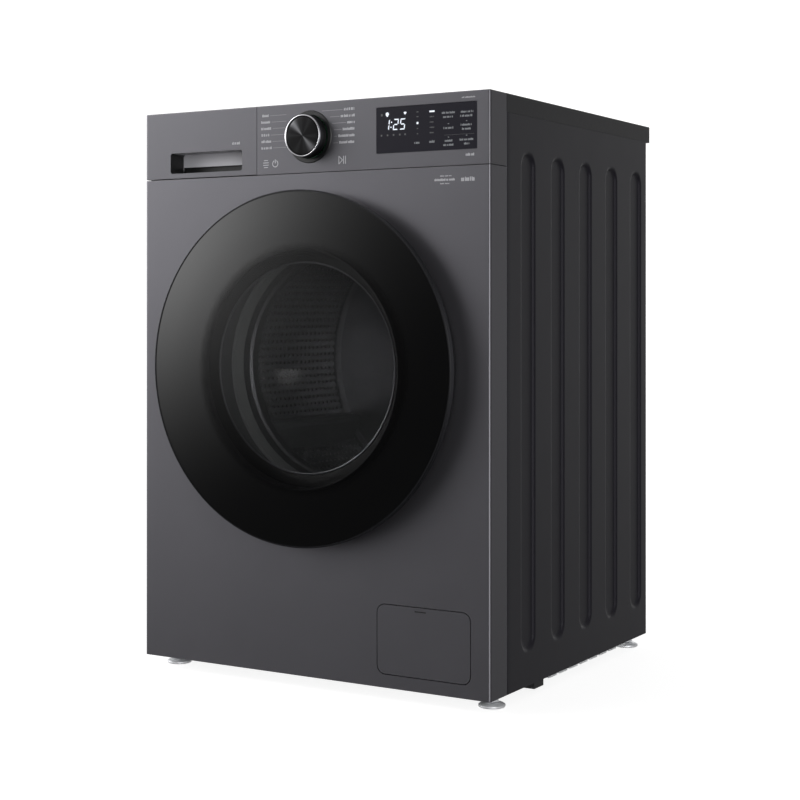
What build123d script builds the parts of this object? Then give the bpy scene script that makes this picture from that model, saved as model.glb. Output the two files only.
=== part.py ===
"""Front-loading washing machine, 600 mm wide, direct drive, as an assembly of separate parts.

All lengths are millimetres. The geometry is laid out from the front panel's plane (y = 0) backwards,
and moved by Y_SHIFT on export, so that the origin ends up on the floor under the middle of the machine.
+X is the user's right, +Y points to the back, +Z is up.
"""

import math
import os

from build123d import *

os.makedirs("parts", exist_ok=True)

# ---------------------------------------------------------------- driving dimensions
WIDTH = 600.0          # cabinet width
HEIGHT = 850.0         # floor to worktop
DEPTH = 565.0          # front panel to the worktop's rear edge
DOOR_PROUD = 46.0      # crown of the door glass in front of the front panel
BODY_REAR = 548.0      # rear edge of the side panels
UNDER = 19.0           # gap under the cabinet
PANEL_TOP = 748.0      # top of the front panel
FASCIA_BOTTOM = 749.0  # bottom of the control fascia
SKIRT_BOTTOM = 824.0   # bottom edge of the worktop's skirt
STRIP = 48.0           # how far the front panel returns along the sides
SHEET = 1.0            # sheet metal
DOOR_Z = 466.0         # axis of door, tub and drum
DISH_R, DISH_FLOOR_R, DISH_DEPTH = 240.0, 231.0, 11.0
MOUTH_R = 186.0        # door mouth in the front panel
RIM_R = 256.6          # outside of the door
HINGE_X, HINGE_Y = -246.5, -18.0   # vertical axis of the door hinge
PIN_R = 3.5
BORE_R = 3.55          # running clearance of 0.05 on every pivot pin
KNUCKLE_R = 5.6
DRAWER_X1 = -89.4      # right edge of the detergent drawer's front
DIAL_X, DIAL_Z, DIAL_R = 5.0, 800.5, 31.0
DISPLAY = (118.5, 279.5, 770.5, 835.3)
HATCH = (119.0, 270.0, 37.6, 137.4)
HATCH_HINGE_Y, HATCH_HINGE_Z = 8.0, 54.0
RIB_PITCH, RIB_FIRST, RIB_HALF, RIB_DEPTH = 97.0, 115.0, 24.0, 4.0
RIB_Z = (65.0, 775.0)
TUB_R, TUB_WALL = 256.0, 4.0
DRUM_R, DRUM_SHEET = 243.0, 1.0
DRUM_MOUTH_R = 168.0
FOOT_X, FOOT_Y1, FOOT_Y2, FOOT_R = 275.0, 52.0, 522.0, 19.0
DAMPER_Y = 230.0
DAMPER_LOW = (235.0, 52.0)    # x, z of the lower pivot
DAMPER_HIGH = (185.0, 245.0)  # x, z of the upper pivot
FILTER_X, FILTER_Z = 195.0, 85.0

Y_SHIFT = -(DEPTH - DOOR_PROUD) / 2.0
HX = WIDTH / 2.0

made = {}


# ---------------------------------------------------------------- helpers
def block(x0, x1, y0, y1, z0, z1):
    return Pos((x0 + x1) / 2, (y0 + y1) / 2, (z0 + z1) / 2) * Box(x1 - x0, y1 - y0, z1 - z0)


def rod_x(y, z, x0, x1, r):
    return Pos((x0 + x1) / 2, y, z) * Rot(0, 90, 0) * Cylinder(r, x1 - x0)


def rod_y(x, z, y0, y1, r):
    return Pos(x, (y0 + y1) / 2, z) * Rot(90, 0, 0) * Cylinder(r, y1 - y0)


def rod_z(x, y, z0, z1, r):
    return Pos(x, y, (z0 + z1) / 2) * Cylinder(r, z1 - z0)


def turned(points, x=0.0, z=DOOR_Z):
    """A profile of (radius, y) points turned about the line along Y through (x, z)."""
    face = make_face(Polyline(*[(r, y) for r, y in points], close=True))
    return Pos(x, 0, z) * revolve(face, Axis.Y)


def turned_z(points, x, y):
    """A profile of (radius, z) points turned about the vertical line through (x, y)."""
    face = make_face(Polyline(*[(r, z) for r, z in points], close=True))
    return Pos(x, y, 0) * Rot(90, 0, 0) * revolve(face, Axis.Y)


def strip(points, t):
    """Closed outline of a band of thickness t along a polyline of (r, y) points."""
    left, right = [], []
    n = len(points)
    for i, (px, py) in enumerate(points):
        d = []
        if i > 0:
            d.append((px - points[i - 1][0], py - points[i - 1][1]))
        if i < n - 1:
            d.append((points[i + 1][0] - px, points[i + 1][1] - py))
        u = [(a / math.hypot(a, b), b / math.hypot(a, b)) for a, b in d]
        nx = sum(-b for a, b in u) / len(u)
        ny = sum(a for a, b in u) / len(u)
        s = nx * nx + ny * ny
        nx, ny = nx / s, ny / s
        left.append((px + nx * t / 2, py + ny * t / 2))
        right.append((px - nx * t / 2, py - ny * t / 2))
    return left + right[::-1]


def slab_y(sketch, y0, y1):
    """A sketch drawn in x and z, as a slab from y0 to y1."""
    plane = Plane(origin=(0, y0, 0), x_dir=(1, 0, 0), z_dir=(0, -1, 0))
    return extrude(plane * sketch, amount=-(y1 - y0))


def rounded(x0, x1, z0, z1, r, y0, y1):
    """Rounded rectangle in x and z, y0 to y1 thick."""
    s = Pos((x0 + x1) / 2, (z0 + z1) / 2) * RectangleRounded(x1 - x0, z1 - z0, r)
    return slab_y(s, y0, y1)


def mirrored(part):
    return mirror(part, Plane.YZ)


def several(parts):
    return Compound(children=[s for p in parts for s in p.solids()])


def keep(name, shape):
    made[name] = shape


def vertical_front_edges(part, x, y):
    return [e for e in part.edges().filter_by(Axis.Z) if abs(abs(e.center().X) - x) < 0.01 and abs(e.center().Y - y) < 0.01]


# ---------------------------------------------------------------- front panel
shell = block(-HX, HX, 0, STRIP, UNDER, PANEL_TOP)
shell = fillet(vertical_front_edges(shell, HX, 0), 3.5)
core = block(-HX + SHEET, HX - SHEET, SHEET, STRIP + 1, UNDER + SHEET, PANEL_TOP - SHEET)
core = fillet(vertical_front_edges(core, HX - SHEET, SHEET), 2.5)
panel = shell - core
panel -= block(-HX + SHEET, HX - SHEET, 20, STRIP + 1, UNDER - 1, UNDER + 2)
panel -= block(-HX + SHEET, HX - SHEET, 20, STRIP + 1, PANEL_TOP - 2, PANEL_TOP + 1)
panel -= rod_y(0, DOOR_Z, -1, 2, DISH_R + 1.5)
panel += turned([
    (DISH_R + 3, 0), (DISH_R, 0), (DISH_FLOOR_R, DISH_DEPTH), (190, DISH_DEPTH), (MOUTH_R, 15), (MOUTH_R, 22),
    (MOUTH_R + 1.2, 22), (MOUTH_R + 1.2, 15.5), (190.5, 12.2), (DISH_FLOOR_R + 0.5, 12.2), (DISH_R + 0.6, 1), (DISH_R + 3, 1),
])
panel -= rounded(HATCH[0], HATCH[1], HATCH[2], HATCH[3], 13, -1, 3)
panel -= block(207, 223, 10, 14, 454, 478)
keep("front_panel", panel)


# ---------------------------------------------------------------- side panels
def rib_cutter(half, x_out, x_in, shrink, y):
    z0, z1 = RIB_Z
    mid, length = (z0 + z1) / 2, z1 - z0
    def slot(x, h):
        plane = Plane(origin=(x, y, mid), x_dir=(0, 0, 1), z_dir=(1, 0, 0))
        return plane * SlotOverall(length - 2 * (half - h), 2 * h)
    return loft([slot(x_out, half), slot(x_in, half - shrink)])


side = block(HX - SHEET, HX, STRIP + 1, BODY_REAR, UNDER, SKIRT_BOTTOM - 0.2)
side += block(HX - 14, HX, STRIP + 1, STRIP + 1 + SHEET, 47, SKIRT_BOTTOM - 1.2)
side += block(HX - 20, HX, BODY_REAR - SHEET, BODY_REAR, UNDER, SKIRT_BOTTOM - 0.2)
side += block(HX - 3.5, HX, STRIP + 1, BODY_REAR, UNDER, UNDER + SHEET)
side += block(HX - 14, HX, STRIP + 1, BODY_REAR, SKIRT_BOTTOM - 1.2, SKIRT_BOTTOM - 0.2)
for i in range(5):
    y = RIB_FIRST + RIB_PITCH * i
    side += rib_cutter(RIB_HALF + 1, HX - SHEET + 0.4, HX - RIB_DEPTH - SHEET, 7.5, y)
for i in range(5):
    y = RIB_FIRST + RIB_PITCH * i
    side -= rib_cutter(RIB_HALF, HX + 0.01, HX - RIB_DEPTH, 7.0, y)
keep("right_side_panel", side)
keep("left_side_panel", mirrored(side))

# ---------------------------------------------------------------- worktop
top = block(-HX, HX, STRIP + 1, DEPTH, SKIRT_BOTTOM, HEIGHT)
top = fillet([e for e in top.edges().filter_by(Axis.Z) if e.center().Y > 500], 5)
top = fillet([e for e in top.edges() if abs(e.center().Z - HEIGHT) < 0.01 and e.center().Y > STRIP + 2], 1.6)
top -= block(-HX + 3, HX - 3, STRIP, DEPTH - 4, SKIRT_BOTTOM - 1, HEIGHT - 4)
for x in (-60.0, 60.0, 180.0):
    top += block(x - 1.5, x + 1.5, STRIP + 4, DEPTH - 4, SKIRT_BOTTOM + 12, HEIGHT - 4)
keep("top_plate", top)

# ---------------------------------------------------------------- rear panel and its cover
rear = block(-298.6, 298.6, 545.9, 546.9, 24, 822)
rear -= rod_y(0, DOOR_Z, 540, 550, 150)
for x in (-225.0, 225.0):
    rear += block(x - 14, x + 14, 543.5, 546.9, 200, 560) - block(x - 13, x + 13, 544.5, 547.5, 201, 559)
CAPS = [(-175.0, 640.0), (175.0, 640.0), (-185.0, 300.0), (185.0, 300.0)]
for x, z in CAPS:
    rear -= rod_y(x, z, 540, 550, 12)
INLET_X, INLET_Z = -190.0, 790.0
OUTLET_X, OUTLET_Z = 262.0, 92.0
GLAND_X, GLAND_Z = 225.0, 740.0
rear -= rod_y(INLET_X, INLET_Z, 540, 550, 14)
rear -= rod_y(OUTLET_X, OUTLET_Z, 540, 550, 11)
rear -= rod_y(GLAND_X, GLAND_Z, 540, 550, 8.2)
SCREWS = [(-270, 812), (-90, 812), (90, 812), (270, 812), (-270, 60), (270, 60), (-270, 620), (270, 620)]
COVER_SCREWS = [(163.5 * math.cos(a), DOOR_Z + 163.5 * math.sin(a)) for a in [math.radians(30 + 60 * k) for k in range(6)]]
for x, z in SCREWS + COVER_SCREWS:
    rear -= rod_y(x, z, 540, 550, 2.1)
for k in range(6):
    rear -= block(60, 160, 540, 550, 752 + 9 * k, 755.5 + 9 * k)
keep("rear_panel", rear)
cover = turned([(0, 555), (150, 555), (157, 548.2), (170, 548.2), (170, 547.0), (156.4, 547.0), (149.5, 553.8), (0, 553.8)])
for x, z in COVER_SCREWS:
    cover -= rod_y(x, z, 540, 550, 2.1)
keep("rear_service_cover", cover)
screws = []
for (x, z), y in [(s, 546.9) for s in SCREWS] + [(s, 548.2) for s in COVER_SCREWS]:
    screws.append(rod_y(x, z, y, y + 2.6, 4.4) + rod_y(x, z, y - 9, y, 1.95))
keep("panel_screws", several(screws))
keep("transit_caps", several([rod_y(x, z, 546.9, 549.4, 17) + rod_y(x, z, 538, 546.9, 11.8) for x, z in CAPS]))
gland = rod_y(GLAND_X, GLAND_Z, 547.0, 552, 12.5) + rod_y(GLAND_X, GLAND_Z, 536, 547.0, 8.0)
gland += turned([(0, 552), (8.5, 552), (7.0, 562), (0, 562)], GLAND_X, GLAND_Z)
gland -= rod_y(GLAND_X, GLAND_Z, 530, 566, 4.5)
keep("cord_gland", gland)

# ---------------------------------------------------------------- base
base = block(-298.2, 298.2, 6, 544, 20.2, 23.2)
base += block(-298.2, 298.2, 2.5, 544, 20.2, 45) - block(-295.7, 295.7, 5, 541.5, 19, 46)
for sx in (-1, 1):
    for y in (FOOT_Y1, FOOT_Y2):
        base += rod_z(sx * FOOT_X, y, 20.2, 46, 16)
        base -= rod_z(sx * FOOT_X, y, 10, 50, 5.05)
    for k in range(8):
        y = 205 + 36 * k
        base += block(sx * 288 - 7.5, sx * 288 + 7.5, y - 13, y + 13, 14, 20.2)
for y in (100.0, 280.0, 440.0):
    base += block(-250, 250, y - 1.5, y + 1.5, 12.5, 20.2)
for x in (-200.0, -70.0, 70.0, 175.0):
    base += block(x - 1.5, x + 1.5, 60, 500, 12.5, 20.2)
base -= block(172, 295, 134, 184, 10, 30)
base -= block(100, 290, 2, 5.1, 26, 46)
for sx in (-1, 1):
    for y0, y1 in ((DAMPER_Y - 15, DAMPER_Y - 9), (DAMPER_Y + 9, DAMPER_Y + 15)):
        ear = block(sx * 235 - 11, sx * 235 + 11, y0, y1, 22, 52) + rod_y(sx * 235, 52, y0, y1, 11)
        base += ear
    base += rod_y(sx * 235, 52, DAMPER_Y - 15, DAMPER_Y + 15, PIN_R)
# cradle under the pump
base += block(170, 176, 60, 66, 23, 57.5) + block(214, 220, 60, 66, 23, 57.5) + block(170, 220, 60, 66, 23, 51.6)
keep("base_pan", base)

# ---------------------------------------------------------------- upper rails: two side rails carrying the springs, and the front cross rail
rail = block(286, 298.8, 52, 544, 808, 822) + block(222, 298.8, 285, 315, 812, 822)
rail -= block(287.2, 299, 50, 546, 809.2, 820.8)
rail += block(240 - 5, 240 + 5, 285, 315, 811.2, 812.2)
cross = block(-298, 298, 2, 28, 733, 745.2) - block(-299, 299, 3.2, 29, 734.2, 744)
keep("upper_rails", several([rail, mirrored(rail), cross]))

# ---------------------------------------------------------------- control fascia
fascia = block(-HX, HX, 0, STRIP, FASCIA_BOTTOM, HEIGHT)
fascia = fillet(vertical_front_edges(fascia, HX, 0), 3.5)
fascia = fillet([e for e in fascia.edges() if abs(e.center().Z - HEIGHT) < 0.01 and e.center().Y < STRIP - 1], 1.6)
fascia -= block(-HX + 2.5, HX - 2.5, 2.5, STRIP + 1, FASCIA_BOTTOM + 2, HEIGHT - 2.5)
fascia -= block(-HX - 1, DRAWER_X1 + 0.8, -1, 14, FASCIA_BOTTOM - 1, HEIGHT + 1)
fascia += block(-HX + 2, DRAWER_X1 + 3.3, 14, 16.5, FASCIA_BOTTOM, HEIGHT - 1)
fascia += block(DRAWER_X1 + 0.8, DRAWER_X1 + 3.3, 1, 16.5, FASCIA_BOTTOM, HEIGHT - 1)
fascia -= block(-281.5, -104.5, 10, 20, 753.5, 838.5)
fascia -= rod_y(DIAL_X, DIAL_Z, -1, 4, 34)
fascia -= rounded(DISPLAY[0] - 0.25, DISPLAY[1] + 0.25, DISPLAY[2] - 0.25, DISPLAY[3] + 0.25, 1.5, -1, 4)
keep("control_fascia", fascia)
keep("display_window", rounded(*DISPLAY, 1.3, 0, 2.6))
board = block(-62, 286, 14, 15.6, 757, 842)
board += block(120, 278, 6, 14, 772, 834)
board += block(DIAL_X - 13, DIAL_X + 13, 5, 14, DIAL_Z - 13, DIAL_Z + 13) - rod_y(DIAL_X, DIAL_Z, 4, 13.5, 3.1)
for x, z in ((-40, 775), (-40, 815), (60, 775), (62, 815), (90, 800)):
    board += block(x - 7, x + 7, 15.6, 21, z - 5, z + 5)
keep("control_board", board)
keep("dial_bezel", turned([(32.0, -1.2), (37.2, -1.2), (38.2, -0.2), (38.2, 0), (33.8, 0), (33.8, 3.6), (32.0, 3.6)], DIAL_X, DIAL_Z))

# program dial: knob with shaft, and its bright ring
dial = turned([(0, -18.6), (28.3, -18.6), (28.3, -17.6), (30.6, -17.6), (31.0, -12), (31.0, -1.8), (28.5, -1.8), (28.5, -14), (6, -14), (6, 2), (3.0, 2), (3.0, 13), (0, 13)], DIAL_X, DIAL_Z)
keep("program_dial", dial)
keep("dial_ring", turned([(28.4, -17.65), (28.4, -19.6), (29.0, -20.2), (30.2, -20.2), (30.7, -19.4), (30.7, -17.65)], DIAL_X, DIAL_Z))

# ---------------------------------------------------------------- detergent drawer
front = block(-HX, DRAWER_X1, 0, 13.4, FASCIA_BOTTOM + 0.6, HEIGHT)
front = fillet([e for e in front.edges().filter_by(Axis.Z) if abs(e.center().X + HX) < 0.01 and abs(e.center().Y) < 0.01], 3.5)
front = fillet([e for e in front.edges() if abs(e.center().Z - HEIGHT) < 0.01 and e.center().Y < 13 and e.center().X < DRAWER_X1 - 1], 1.6)
front -= block(-HX + 2.5, DRAWER_X1 - 2.5, 2.5, 15, FASCIA_BOTTOM + 3.1, HEIGHT - 2.5)
front += block(-253, -114, 2, 38, 755, 790)
front -= rounded(-251, -116, 757, 788, 4, -1, 32)
front -= block(-250, -117, 30, 36, 757.5, 768.5)
keep("drawer_front", front)
tray = block(-278, -108, 38.2, 262, 757, 834)
tray -= block(-276, -166, 40.2, 260, 759, 835)
tray -= block(-164, -110, 40.2, 260, 759, 835)
tray = tray + block(-276, -166, 148, 150, 759, 800)
tray = tray - rod_z(-150, 245, 756, 760, 9) - block(-276, -200, 252, 262.5, 762, 780)
keep("drawer_tray", tray)
cap = block(-163, -111, 62, 250, 812, 815) + block(-160, -114, 100, 240, 815, 820)
cap += block(-145, -129, 66, 96, 815, 824)
cap += rod_z(-150, 245, 760.5, 812, 6)
cap -= rod_z(-150, 245, 759, 811, 4.2)
keep("softener_cap", cap)

housing = block(-284, -102, 17, 272, 751, 843) - block(-282, -104, 16, 270, 753, 841)
housing += rod_z(-150, 240, 735, 752, 14) + rod_y(INLET_X, INLET_Z, 271, 290, 6)
housing -= rod_z(-150, 240, 730, 755, 11)
housing -= rod_y(INLET_X, INLET_Z, 265, 295, 4)
keep("dispenser_housing", housing)

# ---------------------------------------------------------------- water inlet valve
valve = block(INLET_X - 20, INLET_X + 20, 505, 545.6, INLET_Z - 18, INLET_Z + 18)
valve += block(INLET_X - 13, INLET_X + 13, 508, 532, INLET_Z - 40, INLET_Z - 18)
valve += rod_y(INLET_X, INLET_Z, 545, 562, 12.5) + rod_y(INLET_X, INLET_Z, 550, 562, 13.2) + rod_y(INLET_X, INLET_Z, 488, 506, 6)
valve -= rod_y(INLET_X, INLET_Z, 550, 563, 9.5)
valve -= rod_y(INLET_X, INLET_Z, 487, 551, 4)
keep("inlet_valve", valve)

# ---------------------------------------------------------------- hoses to the tub, flexible bellows
pts = [(14.2, 693), (14.2, 744), (17.0, 744)]
z = 738.0
while z > 703:
    pts += [(17.0, z), (20.0, z - 2.0), (20.0, z - 4.0), (17.0, z - 6.0)]
    z -= 8.0
pts += [(17.0, 693)]
fill = turned_z(pts, -150, 240)
route = FilletPolyline((40, 125, 205), (40, 125, 85), (161, 125, 85), radius=52)
section = Plane(origin=(40, 125, 205), z_dir=(0, 0, -1)) * (Circle(19) - Circle(16))
sump = sweep(section, path=route)
keep("tub_hoses", several([fill, sump]))

# ---------------------------------------------------------------- drain pump, filter, hatch
pump = rod_y(FILTER_X, FILTER_Z, 26.4, 150, 33)
pump += block(FILTER_X - 20, FILTER_X + 20, 149, 196, FILTER_Z - 34, FILTER_Z + 34)
pump += rod_y(FILTER_X, FILTER_Z, 195, 206, 28)
pump += block(180, 294, 138, 180, 19.5, 53) + block(266, 292, 150, 180, 6.0, 20)
pump += rod_x(125, FILTER_Z, 146, 175, 15.8) + rod_x(135, OUTLET_Z, 215, 246, 9.3)
pump -= rod_y(FILTER_X, FILTER_Z, 20, 146, 27.6)
pump -= rod_x(125, FILTER_Z, 140, 158, 13)
pump -= rod_x(135, OUTLET_Z, 230, 250, 7)
keep("drain_pump", pump)
basket = rod_y(FILTER_X, FILTER_Z, 20, 26, 30) + rod_y(FILTER_X, FILTER_Z, 26, 46, 27.55) + rod_y(FILTER_X, FILTER_Z, 46, 132, 22)
basket -= rod_y(FILTER_X, FILTER_Z, 50, 133, 19)
for k in range(4):
    a = 45 + 90 * k
    basket -= Pos(FILTER_X, 90, FILTER_Z) * Rot(0, a, 0) * Pos(20, 0, 0) * Box(12, 60, 14)
basket += block(FILTER_X - 3.5, FILTER_X + 3.5, 8.5, 20, FILTER_Z - 24, FILTER_Z + 24)
keep("pump_filter", basket)
drain_path = FilletPolyline((226.5, 135, OUTLET_Z), (OUTLET_X, 135, OUTLET_Z), (OUTLET_X, 536, OUTLET_Z), radius=18)
hose_face = Plane(origin=(226.5, 135, OUTLET_Z), z_dir=(1, 0, 0)) * (Circle(12) - Circle(9.5))
hose = sweep(hose_face, path=drain_path)
hose -= rod_y(FILTER_X, FILTER_Z, 100, 180, 33.4)
supply = rod_y(INLET_X, INLET_Z, 275, 502, 8.6) - rod_y(INLET_X, INLET_Z, 270, 506, 6.15)
keep("internal_hoses", several([hose, supply]))
outlet = rod_y(OUTLET_X, OUTLET_Z, 547, 550, 16) + rod_y(OUTLET_X, OUTLET_Z, 550, 564, 10.5) + rod_y(OUTLET_X, OUTLET_Z, 536.2, 547, 10.6)
outlet += rod_y(OUTLET_X, OUTLET_Z, 520, 536.3, 9.3)
outlet -= rod_y(OUTLET_X, OUTLET_Z, 519, 565, 7.5)
keep("drain_outlet", outlet)

frame_ = block(110, 279, 1.2, 9, 27, 146) - rounded(HATCH[0] + 0.5, HATCH[1] - 0.5, HATCH[2] + 0.9, HATCH[3] - 0.5, 12.5, 0, 10)
frame_ -= block(118.5, 270.5, 0, 10, 31, 68)
for x in (118.5, 265.5):
    frame_ += rod_x(HATCH_HINGE_Y, HATCH_HINGE_Z, x, x + 5, 5) + block(x, x + 5, HATCH_HINGE_Y, 15, HATCH_HINGE_Z - 4, HATCH_HINGE_Z + 4)
for x in (110.0, 270.0):
    frame_ += block(x, x + 9, 8, 15, 49.7, 58.7)
for x in (118.5, 265.5):
    frame_ -= rod_x(HATCH_HINGE_Y, HATCH_HINGE_Z, x - 0.5, x + 5.5, 1.85)
keep("hatch_frame", frame_)
g = 1.2
lid = rounded(HATCH[0] + g, HATCH[1] - g, HATCH[2] + g, HATCH[3] - g, 12, 0, 2.2)
lid -= block(190 - 9, 190 + 9, -1, 0.9, 129.5, 131.5)
for x0, x1 in ((125.0, 128.0), (261.0, 264.0)):
    lid += block(x0, x1, 1, HATCH_HINGE_Y, HATCH_HINGE_Z - 3, HATCH_HINGE_Z + 3) + rod_x(HATCH_HINGE_Y, HATCH_HINGE_Z, x0, x1, 3)
lid += rod_x(HATCH_HINGE_Y, HATCH_HINGE_Z, 120.0, 128.0, 1.8) + rod_x(HATCH_HINGE_Y, HATCH_HINGE_Z, 261.0, 269.0, 1.8)
lid += block(150, 240, 2, 4.5, 125, 127)
keep("hatch_cover", lid)

# ---------------------------------------------------------------- feet
def foot(x, y):
    f = turned_z([(0, 0), (17.5, 0), (FOOT_R, 1.5), (FOOT_R, 5.0), (17, 7), (0, 7)], x, y)
    f += Pos(x, y, 7) * extrude(RegularPolygon(9.8, 6), amount=6)
    f += rod_z(x, y, 12, 43, 5.0)
    return f


keep("foot_front_left", foot(-FOOT_X, FOOT_Y1))
keep("foot_front_right", foot(FOOT_X, FOOT_Y1))
keep("foot_rear_left", foot(-FOOT_X, FOOT_Y2))
keep("foot_rear_right", foot(FOOT_X, FOOT_Y2))

# ---------------------------------------------------------------- door hinge, lock and gasket
bracket = block(-222, -196, 9.4, 11, DOOR_Z - 50, DOOR_Z + 50)
for z0 in (DOOR_Z - 40, DOOR_Z + 36):
    arm = extrude(Pos(0, 0, z0) * make_face(Polyline((-249.9, -13.8), (-243.1, -22.2), (-205, 9.4), (-222, 9.4), close=True)), amount=4)
    bracket += arm + rod_z(HINGE_X, HINGE_Y, z0, z0 + 4, KNUCKLE_R)
bracket += block(-222, -205, 8, 9.5, DOOR_Z - 50, DOOR_Z + 50)
bracket -= rod_z(HINGE_X, HINGE_Y, DOOR_Z - 60, DOOR_Z + 60, PIN_R)
for dz in (-27, 27):
    bracket -= rod_y(-209, DOOR_Z + dz, 5, 12, 2.6)
keep("hinge_bracket", bracket)
pin = rod_z(HINGE_X, HINGE_Y, DOOR_Z - 41.2, DOOR_Z + 41.2, PIN_R)
pin += rod_z(HINGE_X, HINGE_Y, DOOR_Z + 40, DOOR_Z + 41.2, 5) + rod_z(HINGE_X, HINGE_Y, DOOR_Z - 41.2, DOOR_Z - 40, 5)
keep("hinge_pin", pin)
lock = block(205, 229, 12.4, 36, 444, 488) - block(207, 223, 12, 33, 454, 478)
keep("door_lock", lock)
gasket = turned(strip([(172.6, 25.5), (180.5, 19.5), (184.3, 20), (184.3, 27), (190, 31), (200, 34.5), (200.2, 40), (189.5, 43.5), (186.6, 52), (184.9, 62), (184.9, 80)], 2.8))
keep("door_gasket", gasket)

# ---------------------------------------------------------------- door
def lens_profile(y_front, y_back, sag_r, sag, r_edge):
    big = (sag_r ** 2 + sag ** 2) / (2 * sag)
    def y_at(y0, r):
        return y0 + big - math.sqrt(big * big - r * r)
    outline = [
        ThreePointArc((0, y_front), (r_edge / 2, y_at(y_front, r_edge / 2)), (r_edge, y_at(y_front, r_edge))),
        Line((r_edge, y_at(y_front, r_edge)), (r_edge, y_at(y_back, r_edge))),
        ThreePointArc((r_edge, y_at(y_back, r_edge)), (r_edge / 2, y_at(y_back, r_edge / 2)), (0, y_back)),
        Line((0, y_back), (0, y_front)),
    ]
    return make_face(outline)


glass = Pos(0, 0, DOOR_Z) * revolve(lens_profile(-DOOR_PROUD, -DOOR_PROUD + 4, 254, 15, 254), Axis.Y)
keep("door_glass", glass)
keep("door_trim_ring", turned([(254.2, -31.8), (255.6, -31.8), (RIM_R, -30.6), (RIM_R, -23), (255.8, -22), (254.2, -22)]))
dframe = turned([(254.0, -26.9), (254.0, -21.8), (246, -4), (187.2, -4), (187.2, -7), (243.9, -7), (251, -22.3), (251, -24.9), (238, -24.9), (238, -26.9)])
for dz in (-39, 39):
    dframe -= block(-262, -190, -24.5, -2, DOOR_Z + dz - 4.4, DOOR_Z + dz + 4.4)
dframe -= block(-262, -237, -24.5, -7, DOOR_Z - 35, DOOR_Z + 35)
HOOK_X, HOOK_Y = 214.0, -10.5
dframe -= block(207, 221.5, -8, -2, DOOR_Z - 7.5, DOOR_Z + 7.5)
for z0 in (DOOR_Z - 12, DOOR_Z + 6.5):
    dframe += block(HOOK_X - 5.5, HOOK_X + 5.5, -15.5, -6.5, z0, z0 + 5.5)
dframe -= rod_z(HOOK_X, HOOK_Y, DOOR_Z - 13, DOOR_Z + 13, 2.55)
keep("door_frame", dframe)
keep("door_inner_frame", turned([(172.5, -34.3), (174.5, -34.3), (174.5, -7.2), (187.0, -7.2), (187.0, -2.5), (181, 5), (173.6, 5), (173.6, 1), (178, 1), (178, -4.2), (172.5, -4.2)]))
outer = [(177.8, -4), (177.8, 0.8), (171, 0.8), (170, 8), (167, 24), (152.5, 80), (151.2, 85), (148.6, 90), (144.2, 94), (137, 96.6), (120, 97.8), (90, 98.9), (50, 99.8), (0, 100.2)]
inner = [(0, 95.6), (50, 95.2), (90, 94.3), (120, 93.1), (134, 92.0), (140.6, 89.6), (144.6, 86.4), (146.6, 82.6), (147.8, 78.6), (162.2, 22.5), (165.5, 4), (165.5, -4)]
keep("door_bowl", turned(outer + inner))
hblock = rod_z(HINGE_X, HINGE_Y, DOOR_Z - 35.4, DOOR_Z + 35.4, KNUCKLE_R)
hblock += block(-246, -239, HINGE_Y, -7.2, DOOR_Z - 34, DOOR_Z + 34)
hblock += block(-246, -200, -9.2, -7.2, DOOR_Z - 34, DOOR_Z + 34)
hblock -= rod_z(HINGE_X, HINGE_Y, DOOR_Z - 50, DOOR_Z + 50, BORE_R)
for dz in (-22, 22):
    hblock -= rod_y(-212, DOOR_Z + dz, -10, -6, 2.2)
keep("door_hinge_block", hblock)
hook = extrude(Pos(0, 0, DOOR_Z - 5.5) * make_face(Polyline((210.5, -14), (217.5, -14), (217.5, 18), (220.5, 21), (217.5, 27), (212, 27), (210.5, 22), close=True)), amount=11)
hook += rod_z(HOOK_X, HOOK_Y, DOOR_Z - 11.5, DOOR_Z + 11.5, 2.5)
keep("door_hook", hook)

# ---------------------------------------------------------------- tub
SHAFT_R = 15.0
tub_front = turned([(178, 64), (183, 64), (183, 84), (TUB_R + TUB_WALL, 84), (TUB_R + TUB_WALL, 92.7), (270, 92.7), (270, 98.7), (TUB_R, 98.7), (TUB_R, 88), (178, 88)])
keep("tub_front", tub_front)
tub = turned([(TUB_R, 99), (270, 99), (270, 105), (TUB_R + TUB_WALL, 105), (TUB_R + TUB_WALL, 480), (46, 480), (46, 522), (31.2, 522), (31.2, 468), (46, 468), (46, 476), (TUB_R, 476)])
extras = []
for sx in (-1, 1):
    extras.append(block(sx * 240 - 11, sx * 240 + 11, 290, 310, 555, 640))
    for y0, y1 in ((DAMPER_Y - 16, DAMPER_Y - 9), (DAMPER_Y + 9, DAMPER_Y + 16)):
        extras.append(block(sx * 185 - 13, sx * 185 + 13, y0, y1, 245, 292))
        extras.append(rod_y(sx * 185, 245, y0, y1, 13))
    extras.append(rod_y(sx * 185, 245, DAMPER_Y - 16, DAMPER_Y + 16, PIN_R))
for k in range(12):
    extras.append(Pos(0, 484, DOOR_Z) * Rot(0, 30 * k + 15, 0) * Pos(195, 0, 0) * Box(100, 9, 4))
extras.append(rod_z(40, 125, 197, 216, 15.8))
extras.append(rod_z(-150, 240, 668, 706, 14))
for e in extras:
    tub += e
tub -= rod_y(0, DOOR_Z, 99.5, 476, TUB_R)
tub -= rod_z(40, 125, 190, 225, 13)
tub -= rod_z(-150, 240, 660, 707, 11)
for x in (-25, 25):
    tub -= rod_y(x, 217.3, 470, 482, 4)
keep("tub_rear", tub)


def crescent(a0, a1):
    ring = turned([(194, 46), (262, 46), (262, 83.8), (194, 83.8)])
    half = []
    for k in range(9):
        a = math.radians(a0 + (a1 - a0) * k / 8)
        half.append((320 * math.cos(a), 320 * math.sin(a)))
    wedge = slab_y(Pos(0, DOOR_Z) * make_face(Polyline((0, 0), *half, close=True)), 40, 90)
    return ring & wedge


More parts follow.
